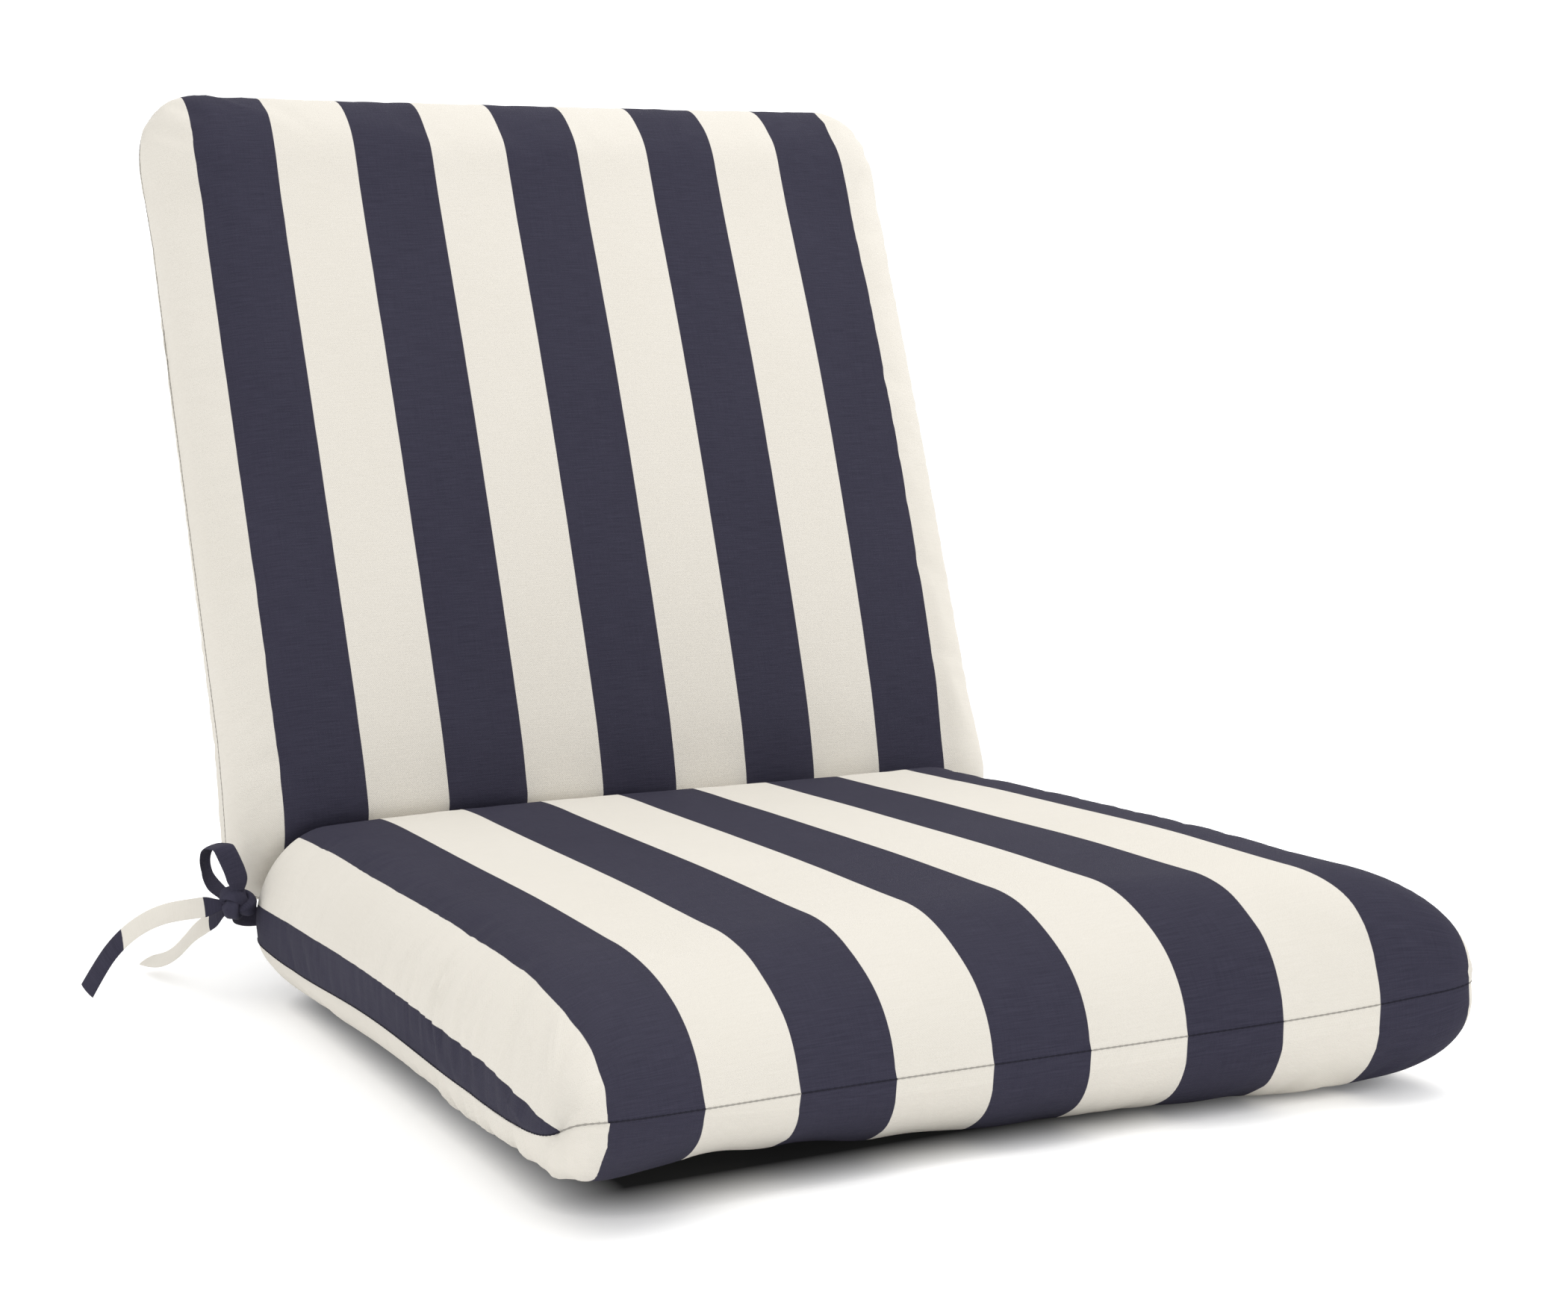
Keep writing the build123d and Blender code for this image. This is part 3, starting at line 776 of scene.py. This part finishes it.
def panel_uv(section, face, lines, side, points):
    """Cloth coordinates of a panel's grid, in metres of flat cloth from the middle and from the hinge.

    Across, the cloth of each side's rolled edge is let out or taken in so that it ends at a given stripe.
    """
    x_flat, x_out, a_flat, a_out = lines
    u = cloth_lengths(x_flat, x_out, section.side_zone, face.side_roll, abs(face.height))[:, None]
    v = cloth_lengths(a_flat, a_out, (section.hinge_zone, section.end_zone),
                      (face.hinge_roll, face.end_roll[0]), abs(face.height))
    v = (v - v.min())[None, :]
    ends = np.full(v.shape, OUTER_STRIPE - 0.002)
    if (section.name, side) == ("seat", 1):
        ends = OUTER_STRIPE + curve_through(v / v.max() * STRIP_AT[-1], STRIP_AT, STRIP_SHOWN, 5)
    start = LET_OUT_FROM[section.name]
    seam = np.where(u > 0, u.max(), -u.min())
    let_out = start + (np.abs(u) - start) * (ends - start) / (seam - start)
    u = np.sign(u) * np.where(np.abs(u) > start, let_out, np.abs(u))
    if section.name == "seat":
        across = points[..., 0]
        front = smooth((a_out[None, :] - 0.30) / 0.5)
        u = np.where(across > 0, u + (np.minimum(across, u) - u) * front, u)
    return np.stack([u, np.broadcast_to(v, u.shape)], axis=-1)


def broad_average(grids, reach=9, times=2):
    """Each grid's average over a square window, taken a number of times, fading to nothing at its edge."""
    total = grids
    window = np.ones(2 * reach + 1) / (2 * reach + 1)
    for _ in range(times):
        for axis in (1, 2):
            total = np.apply_along_axis(lambda row: np.convolve(row, window, "same"), axis, total)
    return total


# The bag of cloth: its pressure, how many frames it swells for, how far a point may move, and how much of the
# broad average of that movement is taken off.
PRESSURE, SWELLS_FOR, CAP, BROAD_OFF = 4.0, 20, 0.005, 0.9


def inflated(section, upper, lower):
    """Both panels after they have swelled as one bag of cloth under pressure, held fast along the seam.

    A point moves less than CAP: its way d becomes d / (1 + d / CAP). Most of the broad average is taken off,
    so that the bag keeps its size and the cloth's own unevenness is left, and none of it near the crease.
    """
    rows, columns = upper.shape[:2]
    flat = np.concatenate([upper.reshape(-1, 3), lower.reshape(-1, 3)])
    number = np.arange(rows * columns).reshape(rows, columns)
    below = number + rows * columns
    for edge in (np.s_[0], np.s_[-1], np.s_[:, 0], np.s_[:, -1]):
        below[edge] = number[edge]
    faces = grid_faces(rows, columns, flip=not faces_up(section, 1))
    under = np.stack([below.ravel()[k] for k in faces.T], axis=1)[:, ::-1]
    bag = mesh_piece("bag", flat, np.concatenate([faces, under]), STRIPED)
    seam = bag.vertex_groups.new(name="seam")
    edge = np.unique(np.concatenate([number[0], number[-1], number[:, 0], number[:, -1]]))
    seam.add(edge.tolist(), 1.0, "REPLACE")
    loose = np.setdiff1d(np.arange(len(flat)), np.concatenate([number.ravel(), below.ravel()]))
    seam.add(loose.tolist(), 1.0, "REPLACE")
    cloth = bag.modifiers.new("swelling", "CLOTH")
    cloth.settings.vertex_group_mass = "seam"
    cloth.settings.quality, cloth.settings.mass = 4, 0.3
    cloth.settings.tension_stiffness = cloth.settings.compression_stiffness = 8.0
    cloth.settings.shear_stiffness, cloth.settings.bending_stiffness = 4.0, 3.0
    cloth.settings.use_pressure, cloth.settings.uniform_pressure_force = True, PRESSURE
    cloth.settings.shrink_min = -0.012
    cloth.settings.effector_weights.gravity = 0.0
    cloth.collision_settings.use_collision = False
    for frame_number in range(1, SWELLS_FOR + 1):
        scene.frame_set(frame_number)
    made = bag.evaluated_get(bpy.context.evaluated_depsgraph_get()).to_mesh()
    moved = np.zeros(len(flat) * 3)
    made.vertices.foreach_get("co", moved)
    moved = moved.reshape(-1, 3) - flat
    bpy.data.objects.remove(bag)
    scene.frame_set(1)
    moved /= 1 + np.linalg.norm(moved, axis=1, keepdims=True) / CAP
    moved = np.stack([moved[:rows * columns], moved[rows * columns:]]).reshape(2, rows, columns, 3)
    from_crease = np.linalg.norm((flat.reshape(moved.shape) - CREASE_PLACE)[..., 1:], axis=-1)
    far = smooth((from_crease - 0.05) / 0.06)
    moved = (moved - BROAD_OFF * broad_average(moved)) * far[..., None]
    moved[1][below == number] = moved[0][below == number]
    return upper + moved[0], lower + moved[1]


def faces_up(section, side):
    """Whether a grid that runs along +X and away from the hinge already faces outwards on that side."""
    return np.cross(np.array([1.0, 0, 0]), section.along) @ section.above * side > 0


def round_seam(upper):
    """The seam line round a section: the grid's edge, once round."""
    return np.concatenate([upper[:, 0], upper[-1, 1:], upper[-2::-1, -1], upper[0, -2:0:-1]])


def stitched_thread(name, line, cloth):
    """The seam's lockstitch: a round thread along the seam, its radius swelling once for each stitch."""
    line, cloth = (np.concatenate([places, places[:1]]) for places in (line, cloth))
    along = arc_lengths(line)
    at = np.linspace(0.0, along[-1], round(along[-1] * 4 / STITCH), endpoint=False)
    centre = np.stack([np.interp(at, along, line[:, k]) for k in range(3)], axis=1)
    forward = unit(np.roll(centre, -3, axis=0) - np.roll(centre, 3, axis=0))
    above = unit(np.cross(forward, unit(centre - centre.mean(axis=0))))
    outward = np.cross(above, forward)
    radius = THREAD_RADIUS * (1 + 0.25 * np.cos(2 * math.pi * at / STITCH))
    turn = np.linspace(0, 2 * math.pi, 8, endpoint=False)
    points = centre[:, None] + radius[:, None, None] * (
        above[:, None] * np.cos(turn)[None, :, None] + outward[:, None] * np.sin(turn)[None, :, None])
    rows, columns = points.shape[:2]
    uv = np.stack([np.interp(at, along, cloth[:, k]) for k in range(2)], axis=1)
    return mesh_piece(name, points.reshape(-1, 3), ring_faces(rows, columns)[:, ::-1], THREAD,
                      np.repeat(uv, columns, axis=0))


def inner_layer(name, section, upper, lower, shrink, material, sides):
    """A layer inside the cover: the cover's own shape drawn towards the section's middle by three factors."""
    middle = (upper.mean(axis=(0, 1)) + lower.mean(axis=(0, 1))) / 2
    axes = np.stack([np.array([1.0, 0, 0]), section.along, section.above])
    thin = {1: upper[::3, ::3], -1: lower[::3, ::3]}
    rows, columns = thin[1].shape[:2]
    points = [((thin[side] - middle) @ axes.T * np.array(shrink)) @ axes + middle for side in sides]
    faces = [grid_faces(rows, columns, flip=not faces_up(section, side)) + k * rows * columns
             for k, side in enumerate(sides)]
    flat = np.concatenate([grid.reshape(-1, 3) for grid in points])
    piece = mesh_piece(name, flat, np.concatenate(faces), material)
    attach(piece, section.name)
    return piece


# How much smaller than the cover its fibre and its foam are: across, along and through.
FIBRE_SHRINK, FOAM_SHRINK = (0.975, 0.975, 0.90), (0.93, 0.93, 0.80)


def covers(section):
    """A section's two cover panels, its seam's thread, its fibre wrap and its foam."""
    lines, upper, lower = stuffed(section)
    upper, lower = inflated(section, upper, lower)
    name, (up, down) = section.name, ("top", "bottom") if section.name == "seat" else ("front", "rear")
    for label, points, face, side in ((up, upper, section.upper, 1), (down, lower, section.lower, -1)):
        rows, columns = points.shape[:2]
        faces = grid_faces(rows, columns, flip=not faces_up(section, side))
        uv = panel_uv(section, face, lines, side, points).reshape(-1, 2)
        piece = mesh_piece(f"{name}_{label}_cover", points.reshape(-1, 3), faces, STRIPED, uv)
        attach(piece, name)
        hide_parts(f"{name}_{label}_panel")
        wrap = inner_layer(f"{name}_{label}_fibre_wrap", section, upper, lower, FIBRE_SHRINK, FIBRE, (side,))
        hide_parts(f"{name}_{label}_fibre")
    foam = inner_layer(f"{name}_foam_slab", section, upper, lower, FOAM_SHRINK, FOAM, (1, -1))
    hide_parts(f"{name}_foam_core")
    cloth = panel_uv(section, section.upper, lines, 1, upper)
    thread = stitched_thread(f"{name}_lockstitch", round_seam(upper), round_seam(cloth))
    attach(thread, name)
    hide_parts(f"{name}_seam_thread")


covers(SEAT)
covers(BACK)

# ------------------------------------------------------------------ hinge
# Each part of the hinge's cloth: the body it rides, and its cross section's middle line from seat to back.
HINGE = {
    "hinge_strip_seat_edge": ("hinge_web_seat_edge", "seat", (0.2445, 0.0464), (0.2553, 0.0465)),
    "hinge_strip": ("hinge_web", "strip", (0.2556, 0.0464), (0.2661, 0.0536)),
    "hinge_strip_back_edge": ("hinge_web_back_edge", "back", (0.2659, 0.0541), (0.2698, 0.0646)),
}
# The web's half length and thickness, and how far it ripples, which dies away at both of its edges.
HINGE_REACH, WEB_THICKNESS, WEB_RIPPLE = 0.213, 0.0008, 0.00022
for node, (name, body, near, far) in HINGE.items():
    x = np.linspace(-HINGE_REACH, HINGE_REACH, 143)
    t = np.linspace(0.0, 1.0, 7)
    waves = np.sin(x[:, None] * 310 + 2 * np.sin(x[:, None] * 47))
    ripple = WEB_RIPPLE * waves * np.sin(math.pi * t)[None, :]
    along = np.array([far[0] - near[0], far[1] - near[1]])
    across = np.array([-along[1], along[0]]) / np.hypot(*along)
    sides = []
    for sign in (1, -1):
        off = ripple + sign * WEB_THICKNESS / 2
        places = [near[k] + along[k] * t + across[k] * off for k in (0, 1)]
        sides.append(np.stack([np.broadcast_to(x[:, None], off.shape), *places], axis=-1))
    ring = np.concatenate([sides[0], sides[1][:, ::-1]], axis=1)
    piece = mesh_piece(name, ring.reshape(-1, 3), tube_faces(*ring.shape[:2]), HINGE_CLOTH)
    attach(piece, body)
    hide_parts(node)

# ------------------------------------------------------------------ studio
FLOOR_REACH, FLOOR_HEIGHT = 9, -0.0006
floor_corners = [(x * FLOOR_REACH, y * FLOOR_REACH, FLOOR_HEIGHT)
                 for x, y in ((-1, -1), (1, -1), (1, 1), (-1, 1))]
floor = mesh_piece("floor", floor_corners, [(0, 1, 2, 3)], floor_finish())
world = bpy.data.worlds.new("studio")
world.use_nodes = True
scene.world = world
world.node_tree.nodes["Background"].inputs["Color"].default_value = (1.0, 1.0, 1.0, 1.0)
world.node_tree.nodes["Background"].inputs["Strength"].default_value = 1.25


def soft_light(name, place, towards, size, power):
    light = bpy.data.lights.new(name, "AREA")
    light.size, light.energy = size, power
    holder = bpy.data.objects.new(name, light)
    holder.location = place
    direction = Vector(towards) - Vector(place)
    holder.rotation_mode = "QUATERNION"
    holder.rotation_quaternion = direction.to_track_quat("-Z", "Y")
    scene.collection.objects.link(holder)


soft_light("overhead", (0.9, 0.1, 2.4), (0.0, 0.0, 0.1), 1.6, 22.0)
